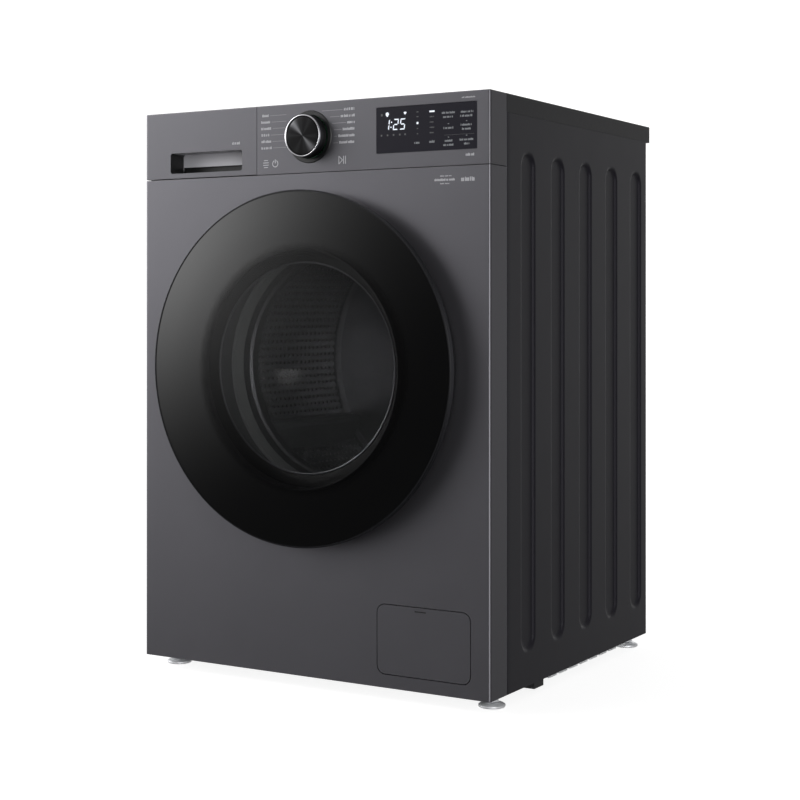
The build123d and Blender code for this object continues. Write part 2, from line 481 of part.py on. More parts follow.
keep("counterweights", several([crescent(22, 158), crescent(202, 338)]))
stator = turned([(70, 481), (78, 481), (78, 514), (70, 514)], 0, DOOR_Z) + turned([(78, 490), (92, 490), (92, 508), (78, 508)])
stator -= turned([(60, 480.9), (69.9, 480.9), (69.9, 520), (60, 520)])
for k in range(18):
    stator += Pos(0, 499, DOOR_Z) * Rot(0, 20 * k, 0) * (Pos(107, 0, 0) * Box(34, 18, 14) + Pos(124.5, 0, 0) * Box(3, 20, 32))
keep("stator", stator)
heater_path = FilletPolyline((-25, 492, 217.3), (-25, 200, 217.3), (25, 200, 217.3), (25, 492, 217.3), radius=24)
heater = sweep(Plane(origin=(-25, 492, 217.3), z_dir=(0, -1, 0)) * Circle(3.4), path=heater_path)
heater += block(-40, 40, 480.2, 486, 206, 230)
keep("heater", heater)
bearing = []
for y in (484.0, 504.0):
    outer = turned([(26, y), (31.1, y), (31.1, y + 16), (26, y + 16)])
    inner = turned([(15.02, y), (20, y), (20, y + 16), (15.02, y + 16)])
    bearing += [outer, inner]
    for k in range(9):
        a = math.radians(40 * k)
        bearing.append(Pos(23 * math.cos(a), y + 8, DOOR_Z + 23 * math.sin(a)) * Sphere(2.95))
bearing.append(turned([(15.3, 470), (31.1, 470), (31.1, 480), (27, 480), (27, 473), (15.3, 473)]))
keep("bearings", several(bearing))

# ---------------------------------------------------------------- springs and dampers
def spring(x, y):
    """Coil spring from the tub's ear up to the side rail, swept along one smooth path."""
    low, high, turns, steps = 641.0, 811.0, 12, 12
    count = turns * steps
    path = [(x, y, low), (x, y, low + 8), (x, y, low + 15)]
    for k in range(count + 1):
        a = 2 * math.pi * k / steps
        r = 12.0 * (0.35 + 0.65 * min(1, k / 6, (count - k) / 6))
        path.append((x + r * math.cos(a), y + r * math.sin(a), low + 24 + (high - low - 48) * k / count))
    path += [(x, y, high - 15), (x, y, high - 8), (x, y, high)]
    line = Spline(*path, tangents=((0, 0, 1), (0, 0, 1)))
    return sweep(Plane(origin=line @ 0, z_dir=line % 0) * Circle(1.8), path=line)


keep("suspension_springs", several([spring(240, 300), mirrored(spring(240, 300))]))

lx, lz = DAMPER_LOW
hx, hz = DAMPER_HIGH
D_LEN = math.hypot(hx - lx, hz - lz)
TILT = math.degrees(math.atan2(hx - lx, hz - lz))


def along_damper(shape):
    """Places a shape built up the Z axis from the origin onto the right-hand damper's line."""
    return Pos(lx, DAMPER_Y, lz) * Rot(0, TILT, 0) * shape


cyl = Rot(90, 0, 0) * Cylinder(10, 16)
cyl += Pos(0, 0, 70) * Cylinder(14, 112)
cyl += Pos(0, 0, 12) * Box(12, 12, 12)
cyl -= Pos(0, 0, 72) * Cylinder(11, 96)
cyl -= Pos(0, 0, 125) * Cylinder(5.4, 20)
cyl -= Rot(90, 0, 0) * Cylinder(BORE_R, 20)
rod = Pos(0, 0, D_LEN) * Rot(90, 0, 0) * Cylinder(9, 16)
rod += Pos(0, 0, (58 + D_LEN - 7) / 2) * Cylinder(5, D_LEN - 7 - 58)
rod += Pos(0, 0, 62) * Cylinder(10.7, 16)
rod -= Pos(0, 0, D_LEN) * Rot(90, 0, 0) * Cylinder(4.1, 20)
keep("damper_cylinder_right", along_damper(cyl))
keep("damper_rod_right", along_damper(rod))
keep("damper_cylinder_left", mirrored(along_damper(cyl)))
keep("damper_rod_left", mirrored(along_damper(rod)))

# ---------------------------------------------------------------- drum
wrapper = turned([(DRUM_R, 112), (DRUM_R + DRUM_SHEET, 112), (DRUM_R + DRUM_SHEET, 455), (DRUM_R, 455)])
keep("drum_shell", wrapper)
ends = [
    turned([(DRUM_MOUTH_R, 112), (DRUM_MOUTH_R, 98), (172, 95), (178, 98), (232, 98), (DRUM_R + DRUM_SHEET, 108), (DRUM_R + DRUM_SHEET, 111.9), (DRUM_R, 111.9), (DRUM_R - 1, 108.6), (231.5, 99.2), (177.6, 99.2), (172, 96.6), (169.2, 98.6), (169.2, 112)]),
    turned([(0, 446), (70, 446), (95, 452), (235, 452), (DRUM_R - 0.05, 446), (DRUM_R - 0.05, 448), (236, 453.4), (94, 453.4), (69.5, 447.4), (0, 447.4)]),
]
keep("drum_ends", several(ends))


def lifter(angle):
    section = make_face(Polyline((DRUM_R - 0.6, -27), (DRUM_R - 3.6, -27), (214, -13), (203, -7), (200, 0), (203, 7), (214, 13), (DRUM_R - 3.6, 27), (DRUM_R - 0.6, 27), close=True))
    body = extrude(Plane(origin=(0, 130, 0), x_dir=(1, 0, 0), z_dir=(0, 1, 0)) * section, amount=290)
    body = body & turned([(0, 120), (DRUM_R - 0.3, 120), (DRUM_R - 0.3, 430), (0, 430)], 0, 0)
    return Pos(0, 0, DOOR_Z) * Rot(0, angle, 0) * body


keep("drum_lifters", several([lifter(-90), lifter(30), lifter(150)]))
spider = turned([(0, 447.6), (55, 447.6), (55, 466), (SHAFT_R, 466), (SHAFT_R, 538), (0, 538)])
for k in range(3):
    arm = Pos(0, 460, DOOR_Z) * Rot(0, 30 + 120 * k, 0) * Pos(140, 0, 0) * Box(180, 12, 34)
    spider += arm
    spider += Pos(0, 463, DOOR_Z) * Rot(0, 30 + 120 * k, 0) * Pos(232, 0, 0) * Box(16, 10, 60)
spider = spider - turned([(60, 440), (69.5, 440), (69.5, 447.5), (94, 453.45), (300, 453.45), (300, 440)])
keep("drum_spider", spider)
rotor = turned([(15.1, 523), (40, 523), (40, 526), (136, 526), (136, 486), (141, 486), (141, 529), (15.1, 529)])
for k in range(8):
    rotor -= Pos(0, 528, DOOR_Z) * Rot(0, 45 * k, 0) * Pos(86, 0, 0) * Box(52, 10, 22)
rotor += turned([(129.5, 488), (135.9, 488), (136.05, 520), (129.5, 520)])
nut = Plane(origin=(0, 529, DOOR_Z), z_dir=(0, 1, 0)) * RegularPolygon(22, 6)
rotor += extrude(nut, amount=8) - rod_y(0, DOOR_Z, 520, 540, 15.1)
keep("rotor", rotor)

# ---------------------------------------------------------------- write one file per part
for name, shape in made.items():
    export_step(Pos(0, Y_SHIFT, 0) * shape, f"parts/{name}.step")
print(len(made), "parts; damper tilt", round(TILT, 3), "length", round(D_LEN, 3))
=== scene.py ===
"""Looks of the front-loading washing machine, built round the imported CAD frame. Metres, +X right, +Y back, +Z up."""
import math

import bmesh
import bpy
from mathutils import Matrix, Vector


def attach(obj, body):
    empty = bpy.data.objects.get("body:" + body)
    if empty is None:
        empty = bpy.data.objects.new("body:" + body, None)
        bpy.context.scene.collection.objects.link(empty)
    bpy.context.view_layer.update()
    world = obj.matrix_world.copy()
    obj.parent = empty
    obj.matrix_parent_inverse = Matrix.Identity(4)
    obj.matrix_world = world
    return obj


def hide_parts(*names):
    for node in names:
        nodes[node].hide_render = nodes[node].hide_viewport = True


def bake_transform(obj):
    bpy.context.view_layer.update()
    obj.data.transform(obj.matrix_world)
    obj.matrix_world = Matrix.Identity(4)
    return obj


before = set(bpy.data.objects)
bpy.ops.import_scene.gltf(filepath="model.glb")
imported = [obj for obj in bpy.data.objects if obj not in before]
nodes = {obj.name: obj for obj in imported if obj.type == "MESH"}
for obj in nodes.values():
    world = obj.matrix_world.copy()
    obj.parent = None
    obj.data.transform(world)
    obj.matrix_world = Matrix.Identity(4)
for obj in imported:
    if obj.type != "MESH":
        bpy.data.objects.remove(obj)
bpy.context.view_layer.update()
scene = bpy.context.scene

Y_SHIFT = -259.5       # the front panel's plane, in millimetres, in the frame
DOOR_Z = 466.0


def pt(x, y, z):
    """Millimetres, with y counted from the front panel, to metres in the frame."""
    return Vector((x / 1000.0, (y + Y_SHIFT) / 1000.0, z / 1000.0))


# ------------------------------------------------------------------ materials
def srgb(v):
    v = v / 255.0
    return v / 12.92 if v <= 0.04045 else ((v + 0.055) / 1.055) ** 2.4


def grey(r, g=None, b=None):
    g = r if g is None else g
    b = r if b is None else b
    return (srgb(r), srgb(g), srgb(b), 1.0)


def new_mat(name):
    m = bpy.data.materials.new(name)
    m.use_nodes = True
    nt = m.node_tree
    return m, nt, nt.nodes["Principled BSDF"]


def coords(nt, scale=(1, 1, 1)):
    tc = nt.nodes.new("ShaderNodeTexCoord")
    mp = nt.nodes.new("ShaderNodeMapping")
    mp.inputs["Scale"].default_value = scale
    nt.links.new(tc.outputs["Object"], mp.inputs["Vector"])
    return mp.outputs["Vector"]


def noise(nt, vec, scale, detail=3.0, rough=0.55):
    n = nt.nodes.new("ShaderNodeTexNoise")
    n.inputs["Scale"].default_value = scale
    n.inputs["Detail"].default_value = detail
    n.inputs["Roughness"].default_value = rough
    nt.links.new(vec, n.inputs["Vector"])
    return n.outputs["Fac"]


def ramp(nt, fac, stops):
    r = nt.nodes.new("ShaderNodeValToRGB")
    e = r.color_ramp.elements
    e[0].position, e[0].color = stops[0]
    e[1].position, e[1].color = stops[-1]
    for pos, col in stops[1:-1]:
        k = e.new(pos)
        k.color = col
    nt.links.new(fac, r.inputs["Fac"])
    return r.outputs["Color"]


def to_range(nt, fac, a, b):
    r = nt.nodes.new("ShaderNodeMapRange")
    r.inputs["To Min"].default_value = a
    r.inputs["To Max"].default_value = b
    nt.links.new(fac, r.inputs["Value"])
    return r.outputs["Result"]


def add_bump(nt, bsdf, height, strength, distance):
    b = nt.nodes.new("ShaderNodeBump")
    b.inputs["Strength"].default_value = strength
    b.inputs["Distance"].default_value = distance
    nt.links.new(height, b.inputs["Height"])
    nt.links.new(b.outputs["Normal"], bsdf.inputs["Normal"])


def scaled(c, k):
    return (min(1, c[0] * k), min(1, c[1] * k), min(1, c[2] * k), 1.0)


def surface(name, colour, vary=0.06, var_scale=9.0, metallic=0.0, rough=0.4, rough_vary=0.05, bump=0.1, bump_scale=900.0, bump_dist=0.0001,
            coat=0.0, coat_rough=0.1, stretch=(1, 1, 1), spec=0.5, ior=1.5, sheen=0.0):
    """A painted, moulded or metal surface: slow tone variation, fine grain in the bump and an uneven gloss."""
    m, nt, b = new_mat(name)
    v = coords(nt, stretch)
    slow = noise(nt, v, var_scale, 4.0)
    nt.links.new(ramp(nt, slow, [(0.3, scaled(colour, 1 - vary)), (0.7, scaled(colour, 1 + vary))]), b.inputs["Base Color"])
    fine = noise(nt, v, bump_scale, 2.0)
    if rough_vary:
        nt.links.new(to_range(nt, noise(nt, v, var_scale * 4, 3.0), max(0.02, rough - rough_vary), rough + rough_vary), b.inputs["Roughness"])
    else:
        b.inputs["Roughness"].default_value = rough
    if bump:
        add_bump(nt, b, fine, bump, bump_dist)
    b.inputs["Metallic"].default_value = metallic
    b.inputs["Coat Weight"].default_value = coat
    b.inputs["Coat Roughness"].default_value = coat_rough
    b.inputs["Specular IOR Level"].default_value = spec
    b.inputs["IOR"].default_value = ior
    b.inputs["Sheen Weight"].default_value = sheen
    return m


FRONT = grey(103, 102, 107)
M = {}
M["front_paint"] = surface("front_paint", FRONT, vary=0.025, var_scale=6, metallic=0.80, rough=0.34, rough_vary=0.02, bump=0.12, bump_scale=1800, bump_dist=0.00003, coat=0.15, coat_rough=0.25)
M["fascia_paint"] = surface("fascia_paint", scaled(FRONT, 0.84), vary=0.02, var_scale=6, metallic=0.75, rough=0.38, rough_vary=0.02, bump=0.08, bump_scale=2200, bump_dist=0.00002, coat=0.2, coat_rough=0.2)
M["side_paint"] = surface("side_paint", grey(27, 25, 34), vary=0.04, var_scale=5, metallic=0.25, rough=0.40, rough_vary=0.03, bump=0.15, bump_scale=1500, bump_dist=0.00004, coat=0.1, coat_rough=0.3)
M["worktop"] = surface("worktop_laminate", grey(19, 18, 23), vary=0.06, var_scale=30, rough=0.42, rough_vary=0.04, bump=0.3, bump_scale=2500, bump_dist=0.00006)
M["zinc"] = surface("zinc_sheet", grey(176, 179, 182), vary=0.10, var_scale=38, metallic=0.85, rough=0.38, rough_vary=0.10, bump=0.1, bump_scale=400, bump_dist=0.00005)
M["steel"] = surface("bright_steel", grey(186, 187, 190), vary=0.06, var_scale=60, metallic=1.0, rough=0.26, rough_vary=0.08, bump=0.08, bump_scale=900)
M["stainless"] = surface("stainless_sheet", grey(188, 188, 190), vary=0.05, var_scale=18, metallic=1.0, rough=0.22, rough_vary=0.06, bump=0.12, bump_scale=160, bump_dist=0.00008, stretch=(1, 6, 1))
M["drum_back"] = surface("brushed_stainless", grey(120, 120, 124), vary=0.08, var_scale=22, metallic=1.0, rough=0.42, rough_vary=0.10, bump=0.25, bump_scale=220, bump_dist=0.00010, stretch=(1, 6, 1))
M["dull_steel"] = surface("dull_steel", grey(120, 120, 124), vary=0.12, var_scale=70, metallic=0.9, rough=0.34, rough_vary=0.10, bump=0.1, bump_scale=700)
M["aluminium"] = surface("cast_aluminium", grey(178, 180, 183), vary=0.08, var_scale=40, metallic=0.9, rough=0.5, rough_vary=0.08, bump=0.4, bump_scale=700, bump_dist=0.0001)
M["chrome"] = surface("polished_chrome", grey(222, 222, 226), vary=0.03, var_scale=80, metallic=1.0, rough=0.09, rough_vary=0.03, bump=0.0)
M["black_plastic"] = surface("black_plastic", grey(38, 38, 40), vary=0.10, var_scale=40, rough=0.45, rough_vary=0.08, bump=0.3, bump_scale=1400, bump_dist=0.00008)
M["black_gloss"] = surface("black_gloss", grey(16, 16, 18), vary=0.08, var_scale=20, rough=0.16, rough_vary=0.03, bump=0.0)
M["bezel"] = surface("bezel_black", grey(14, 14, 16), vary=0.08, var_scale=30, rough=0.35, rough_vary=0.05, bump=0.1, bump_scale=1600, bump_dist=0.00004)
M["trim_gloss"] = surface("trim_gloss", grey(30, 30, 33), vary=0.06, var_scale=20, metallic=0.4, rough=0.2, rough_vary=0.04, bump=0.0)
M["display_glass"] = surface("display_glass", grey(32, 31, 38), vary=0.04, var_scale=14, rough=0.16, rough_vary=0.02, bump=0.0, spec=0.22)
M["grey_plastic"] = surface("grey_plastic", grey(150, 152, 155), vary=0.05, var_scale=24, rough=0.48, rough_vary=0.06, bump=0.25, bump_scale=1200, bump_dist=0.00008)
M["tub_plastic"] = surface("tub_plastic", grey(158, 160, 160), vary=0.08, var_scale=16, rough=0.55, rough_vary=0.08, bump=0.4, bump_scale=420, bump_dist=0.0002)
M["white_plastic"] = surface("white_plastic", grey(224, 226, 228), vary=0.03, var_scale=18, rough=0.35, rough_vary=0.05, bump=0.15, bump_scale=1500, bump_dist=0.00005)
M["lifter_plastic"] = surface("lifter_plastic", grey(104, 106, 110), vary=0.04, var_scale=18, rough=0.36, rough_vary=0.05, bump=0.15, bump_scale=1500, bump_dist=0.00005)
M["blue_plastic"] = surface("blue_plastic", grey(70, 118, 178), vary=0.06, var_scale=24, rough=0.34, rough_vary=0.05, bump=0.15, bump_scale=1300, bump_dist=0.00005)
# Near-black: painted shade for the drawer pocket's inside and the hatch's finger slot, and the own black of the window
# mask ring
M["pocket"] = surface("pocket_painted_shade_and_black_ring", grey(10, 10, 11), vary=0.08, var_scale=30, rough=0.5, rough_vary=0.05, bump=0.2, bump_scale=1600, bump_dist=0.00005)
# Painted light: the drawer pocket's back plate and ceiling painted far lighter than the drawer's own fascia paint, as
# if lit inside the recess
M["pocket_back"] = surface("pocket_back_painted_light", grey(186, 185, 190), vary=0.03, var_scale=12, metallic=0.1, rough=0.42, rough_vary=0.03, bump=0.08, bump_scale=1800, bump_dist=0.00003)
M["gasket"] = surface("grey_rubber", grey(66, 67, 70), vary=0.07, var_scale=22, rough=0.55, rough_vary=0.06, bump=0.35, bump_scale=1100, bump_dist=0.0001)
M["hose"] = surface("black_rubber", grey(38, 38, 39), vary=0.1, var_scale=30, rough=0.6, rough_vary=0.08, bump=0.3, bump_scale=900, bump_dist=0.0001)
M["concrete"] = surface("cast_concrete", grey(150, 147, 142), vary=0.16, var_scale=60, rough=0.85, rough_vary=0.08, bump=0.9, bump_scale=260, bump_dist=0.0006)
M["copper"] = surface("enamelled_copper", grey(176, 96, 56), vary=0.14, var_scale=90, metallic=0.8, rough=0.35, rough_vary=0.08, bump=0.5, bump_scale=700, bump_dist=0.0002)
M["board"] = surface("circuit_board", grey(28, 92, 58), vary=0.16, var_scale=120, rough=0.45, rough_vary=0.08, bump=0.2, bump_scale=500)
M["print_light"] = surface("print_light", grey(174, 174, 178), vary=0.05, var_scale=200, rough=0.6, rough_vary=0.02, bump=0.0)
M["print_dim"] = surface("print_dim", grey(136, 136, 140), vary=0.05, var_scale=200, rough=0.6, rough_vary=0.02, bump=0.0)


def glow(name, colour, strength):
    m, nt, b = new_mat(name)
    v = coords(nt)
    b.inputs["Base Color"].default_value = (0.02, 0.02, 0.02, 1)
    nt.links.new(ramp(nt, noise(nt, v, 300, 1.0), [(0.2, scaled(colour, 0.94)), (0.8, colour)]), b.inputs["Emission Color"])
    b.inputs["Emission Strength"].default_value = strength
    b.inputs["Roughness"].default_value = 0.4
    return m


M["led_white"] = glow("led_white", (0.85, 0.9, 1.0, 1), 1.1)
M["led_dim"] = glow("led_dim", (0.55, 0.58, 0.62, 1), 0.35)
# Painted glow: a faint emission on the display's unlit marks, which no lamp lights
M["unlit_marks_painted_glow"] = glow("unlit_marks_painted_glow", (0.30, 0.31, 0.33, 1), 0.20)


def math_node(nt, op, a, b=None):
    n = nt.nodes.new("ShaderNodeMath")
    n.operation = op
    for i, v in enumerate((a, b)):
        if v is None:
            continue
        if isinstance(v, (int, float)):
            n.inputs[i].default_value = v
        else:
            nt.links.new(v, n.inputs[i])
    return n.outputs[0]


def radius_from_axis(nt, x, z):
    """Distance of a point from the line along Y through (x, z) of the rest frame, in millimetres."""
    tc = nt.nodes.new("ShaderNodeTexCoord")
    sp = nt.nodes.new("ShaderNodeSeparateXYZ")
    nt.links.new(tc.outputs["Object"], sp.inputs[0])
    dx = math_node(nt, "SUBTRACT", sp.outputs[0], x / 1000.0)
    dz = math_node(nt, "SUBTRACT", sp.outputs[2], z / 1000.0)
    r2 = math_node(nt, "ADD", math_node(nt, "MULTIPLY", dx, dx), math_node(nt, "MULTIPLY", dz, dz))
    return math_node(nt, "MULTIPLY", math_node(nt, "SQRT", r2), 1000.0)


def door_glass_material():
    """Dark tinted glass: printed black outside the window, see-through inside it, with a soft edge between."""
    m, nt, b = new_mat("door_tinted_glass")
    r = radius_from_axis(nt, 15, DOOR_Z)
    mr = nt.nodes.new("ShaderNodeMapRange")
    mr.interpolation_type = "SMOOTHSTEP"
    mr.inputs["From Min"].default_value = 163.0
    mr.inputs["From Max"].default_value = 184.0
    mr.inputs["To Min"].default_value = 0.31
    mr.inputs["To Max"].default_value = 1.0
    nt.links.new(r, mr.inputs["Value"])
    nt.links.new(mr.outputs["Result"], b.inputs["Alpha"])
    v = coords(nt)
    nt.links.new(ramp(nt, noise(nt, v, 7, 2), [(0.2, (0.0012, 0.0012, 0.0014, 1)), (0.8, (0.0018, 0.0018, 0.0020, 1))]), b.inputs["Base Color"])
    nt.links.new(to_range(nt, noise(nt, v, 4, 2), 0.05, 0.09), b.inputs["Roughness"])
    b.inputs["IOR"].default_value = 1.46
    return m


M["door_glass"] = door_glass_material()


def clear_glass_material():
    m, nt, b = new_mat("bowl_clear_glass")
    v = coords(nt)
    nt.links.new(ramp(nt, noise(nt, v, 9, 2), [(0.2, (0.35, 0.37, 0.37, 1)), (0.8, (0.45, 0.47, 0.47, 1))]), b.inputs["Base Color"])
    nt.links.new(to_range(nt, noise(nt, v, 12, 3), 0.04, 0.10), b.inputs["Roughness"])
    add_bump(nt, b, noise(nt, v, 14, 2), 0.25, 0.002)
    b.inputs["Alpha"].default_value = 0.10
    b.inputs["IOR"].default_value = 1.5
    b.inputs["Coat Weight"].default_value = 0.3
    b.inputs["Coat Roughness"].default_value = 0.03
    return m


M["bowl_glass"] = clear_glass_material()


def spun_metal_painted_highlight_material():
    """Spun dark metal: fine turned grooves, a radial grain, and painted highlights: two opposite fans of brightness
    (with fainter pairs) painted into the base colour across the face, standing in for caught light.
    """
    m, nt, b = new_mat("spun_dark_metal_painted_highlights")
    tc = nt.nodes.new("ShaderNodeTexCoord")
    sp = nt.nodes.new("ShaderNodeSeparateXYZ")
    nt.links.new(tc.outputs["Object"], sp.inputs[0])
    x, z = sp.outputs[0], sp.outputs[2]
    r = math_node(nt, "SQRT", math_node(nt, "ADD", math_node(nt, "MULTIPLY", x, x), math_node(nt, "MULTIPLY", z, z)))
    safe = math_node(nt, "MAXIMUM", r, 0.0002)
    th = math_node(nt, "ARCTAN2", z, x)
    # painted highlight: the base colour is brightened in fans by angle round the face, as if catching the light
    total = 0.006
    for deg, power, gain in ((132, 46.0, 0.11), (128, 12.0, 0.014), (62, 60.0, 0.008), (176, 90.0, 0.008), (98, 80.0, 0.005)):
        a = math.radians(deg)
        c = math_node(nt, "DIVIDE", math_node(nt, "ABSOLUTE", math_node(nt, "ADD", math_node(nt, "MULTIPLY", x, math.cos(a)), math_node(nt, "MULTIPLY", z, math.sin(a)))), safe)
        total = math_node(nt, "ADD", math_node(nt, "MULTIPLY", math_node(nt, "POWER", c, power), gain), total)
    grain = nt.nodes.new("ShaderNodeTexNoise")
    grain.noise_dimensions = "1D"
    grain.inputs["Scale"].default_value = 26.0
    nt.links.new(th, grain.inputs["W"])
    total = math_node(nt, "MULTIPLY", total, to_range(nt, grain.outputs["Fac"], 0.65, 1.35))
    groove = math_node(nt, "SINE", math_node(nt, "MULTIPLY", r, 9000.0))
    total = math_node(nt, "MULTIPLY", total, to_range(nt, groove, 0.97, 1.05))
    col = nt.nodes.new("ShaderNodeCombineColor")
    nt.links.new(total, col.inputs[0])
    nt.links.new(total, col.inputs[1])
    nt.links.new(math_node(nt, "MULTIPLY", total, 1.06), col.inputs[2])
    nt.links.new(col.outputs[0], b.inputs["Base Color"])
    b.inputs["Metallic"].default_value = 0.9
    nt.links.new(to_range(nt, noise(nt, coords(nt), 60, 2), 0.30, 0.36), b.inputs["Roughness"])
    return m


M["spun"] = spun_metal_painted_highlight_material()


# ------------------------------------------------------------------ mesh helpers
def finish_piece(obj, mat, body, stands_for=(), angle=32.0):
    me = obj.data
    me.materials.clear()
    me.materials.append(mat)
    me.shade_smooth()
    me.set_sharp_from_angle(angle=math.radians(angle))
    if body:
        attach(obj, body)
    if stands_for:
        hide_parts(*stands_for)
    return obj


def mesh_object(name, verts, faces, origin=(0, 0, 0)):
    me = bpy.data.meshes.new(name)
    o = Vector(origin)
    me.from_pydata([Vector(v) - o for v in verts], [], faces)
    me.validate()
    obj = bpy.data.objects.new(name, me)
    obj.location = o
    scene.collection.objects.link(obj)
    bm = bmesh.new()
    bm.from_mesh(me)
    bmesh.ops.recalc_face_normals(bm, faces=bm.faces)
    bm.to_mesh(me)
    bm.free()
    return obj


def rounded_profile(points, radii, steps=5):
    """A closed profile of (r, y) with each corner rounded by its radius."""
    out = []
    n = len(points)
    for i in range(n):
        p = Vector(points[i])
        rad = radii[i] if isinstance(radii, (list, tuple)) else radii
        a = Vector(points[i - 1]) - p
        b = Vector(points[(i + 1) % n]) - p
        if rad <= 0 or a.length < 1e-6 or b.length < 1e-6:
            out.append(tuple(p))
            continue
        ang = a.angle(b)
        t = rad / math.tan(ang / 2) if ang > 1e-3 else 0
        t = min(t, a.length * 0.48, b.length * 0.48)
        p0, p1 = p + a.normalized() * t, p + b.normalized() * t
        for k in range(steps + 1):
            s = k / steps
            q = p0 * (1 - s) ** 2 + p * 2 * s * (1 - s) + p1 * s ** 2
            out.append(tuple(q))
    return out


def lathe(name, profile, x, z, seg=128, origin_y=0.0, closed=True):
    """A profile of (radius, y) in millimetres turned about the line along Y through (x, z)."""
    c = pt(x, origin_y, z)
    verts, faces = [], []
    n = len(profile)
    for k in range(seg):
        a = 2 * math.pi * k / seg
        for r, y in profile:
            verts.append(pt(x + r * math.cos(a), y, z + r * math.sin(a)))
    last = n if closed else n - 1
    for k in range(seg):
        k2 = (k + 1) % seg
        for i in range(last):
            j = (i + 1) % n
            if profile[i][0] < 1e-6 and profile[j][0] < 1e-6:
                continue
            if profile[i][0] < 1e-6:
                faces.append((0 * n + i, k2 * n + j, k * n + j))
            elif profile[j][0] < 1e-6:
                faces.append((k * n + i, k2 * n + i, 0 * n + j))
            else:
                faces.append((k * n + i, k2 * n + i, k2 * n + j, k * n + j))
    obj = mesh_object(name, verts, faces, c)
    bm = bmesh.new()
    bm.from_mesh(obj.data)
    bmesh.ops.delete(bm, geom=[v for v in bm.verts if not v.link_faces], context="VERTS")
    bm.to_mesh(obj.data)
    bm.free()
    return obj


def lathe_z(name, profile, x, y, seg=48):
    """A profile of (radius, z) in millimetres turned about the vertical line through (x, y)."""
    verts, faces = [], []
    n = len(profile)
    for k in range(seg):
        a = 2 * math.pi * k / seg
        for r, zz in profile:
            verts.append(pt(x + r * math.cos(a), y + r * math.sin(a), zz))
    for k in range(seg):
        k2 = (k + 1) % seg
        for i in range(n):
            j = (i + 1) % n
            if profile[i][0] < 1e-6 and profile[j][0] < 1e-6:
                continue
            if profile[i][0] < 1e-6:
                faces.append((i, k2 * n + j, k * n + j))
            elif profile[j][0] < 1e-6:
                faces.append((k * n + i, k2 * n + i, j))
            else:
                faces.append((k * n + i, k2 * n + i, k2 * n + j, k * n + j))
    obj = mesh_object(name, verts, faces)
    bm = bmesh.new()
    bm.from_mesh(obj.data)
    bmesh.ops.delete(bm, geom=[v for v in bm.verts if not v.link_faces], context="VERTS")
    bm.to_mesh(obj.data)
    bm.free()
    return obj


def plates(name, polys, y0, y1):
    """Thin plates between y0 and y1, one for each outline of (x, z) points, joined into one mesh."""
    verts, faces = [], []
    for poly in polys:
        n = len(poly)
        s = len(verts)
        verts += [pt(x, y0, z) for x, z in poly] + [pt(x, y1, z) for x, z in poly]
        faces.append(tuple(range(s, s + n)))
        faces.append(tuple(range(s + 2 * n - 1, s + n - 1, -1)))
        for i in range(n):
            j = (i + 1) % n
            faces.append((s + i, s + j, s + n + j, s + n + i))
    return mesh_object(name, verts, faces)


def bar(x0, x1, z0, z1):
    return [(x0, z0), (x1, z0), (x1, z1), (x0, z1)]


def ring_poly(cx, cz, r0, r1, a0=0.0, a1=360.0, n=28):
    """Quads round a ring, or round part of one."""
    out = []
    for k in range(n):
        a = math.radians(a0 + (a1 - a0) * k / n)
        b = math.radians(a0 + (a1 - a0) * (k + 1) / n)
        out.append([(cx + r0 * math.cos(a), cz + r0 * math.sin(a)), (cx + r1 * math.cos(a), cz + r1 * math.sin(a)),
                    (cx + r1 * math.cos(b), cz + r1 * math.sin(b)), (cx + r0 * math.cos(b), cz + r0 * math.sin(b))])
    return out


def disc_poly(cx, cz, r, n=20):
    return [(cx + r * math.cos(2 * math.pi * k / n), cz + r * math.sin(2 * math.pi * k / n)) for k in range(n)]


def stroke(x0, z0, x1, z1, w):
    d = Vector((x1 - x0, z1 - z0))
    p = Vector((-d.y, d.x)).normalized() * w / 2
    return [(x0 + p.x, z0 + p.y), (x1 + p.x, z1 + p.y), (x1 - p.x, z1 - p.y), (x0 - p.x, z0 - p.y)]


# ------------------------------------------------------------------ CAD nodes and their materials
CAD = {
    "base_pan": "zinc", "left_side_panel": "side_paint", "right_side_panel": "side_paint", "front_panel": "front_paint", "rear_panel": "zinc",
    "rear_service_cover": "grey_plastic", "panel_screws": "steel", "transit_caps": "grey_plastic", "cord_gland": "black_plastic", "top_plate": "worktop",
    "upper_rails": "zinc", "control_fascia": "fascia_paint", "display_window": "display_glass", "control_board": "board", "dial_bezel": "bezel",
    "dispenser_housing": "white_plastic", "inlet_valve": "white_plastic", "tub_hoses": "hose", "internal_hoses": "hose", "drain_pump": "black_plastic",
    "drain_outlet": "grey_plastic", "hatch_frame": "black_plastic", "hinge_bracket": "steel", "hinge_pin": "steel", "door_lock": "black_plastic",
    "door_gasket": "gasket", "suspension_springs": "steel", "door_glass": "door_glass", "door_trim_ring": "trim_gloss", "door_frame": "black_plastic",
    "door_inner_frame": "black_plastic", "door_bowl": "bowl_glass", "door_hinge_block": "steel", "door_hook": "steel", "drawer_front": "fascia_paint",
    "drawer_tray": "white_plastic", "softener_cap": "blue_plastic", "program_dial": "black_gloss", "dial_ring": "chrome", "hatch_cover": "front_paint",
    "pump_filter": "grey_plastic", "foot_front_left": "steel", "foot_front_right": "steel", "foot_rear_left": "steel", "foot_rear_right": "steel",
    "tub_front": "tub_plastic", "tub_rear": "tub_plastic", "counterweights": "concrete", "stator": "copper", "bearings": "steel", "heater": "steel",
    "drum_shell": "stainless", "drum_ends": "drum_back", "drum_lifters": "lifter_plastic", "drum_spider": "aluminium", "rotor": "steel",
    "damper_cylinder_left": "black_plastic", "damper_cylinder_right": "black_plastic", "damper_rod_left": "grey_plastic", "damper_rod_right": "grey_plastic",
}
for name, obj in nodes.items():
    me = obj.data
    me.materials.clear()
    me.materials.append(M[CAD[name]])

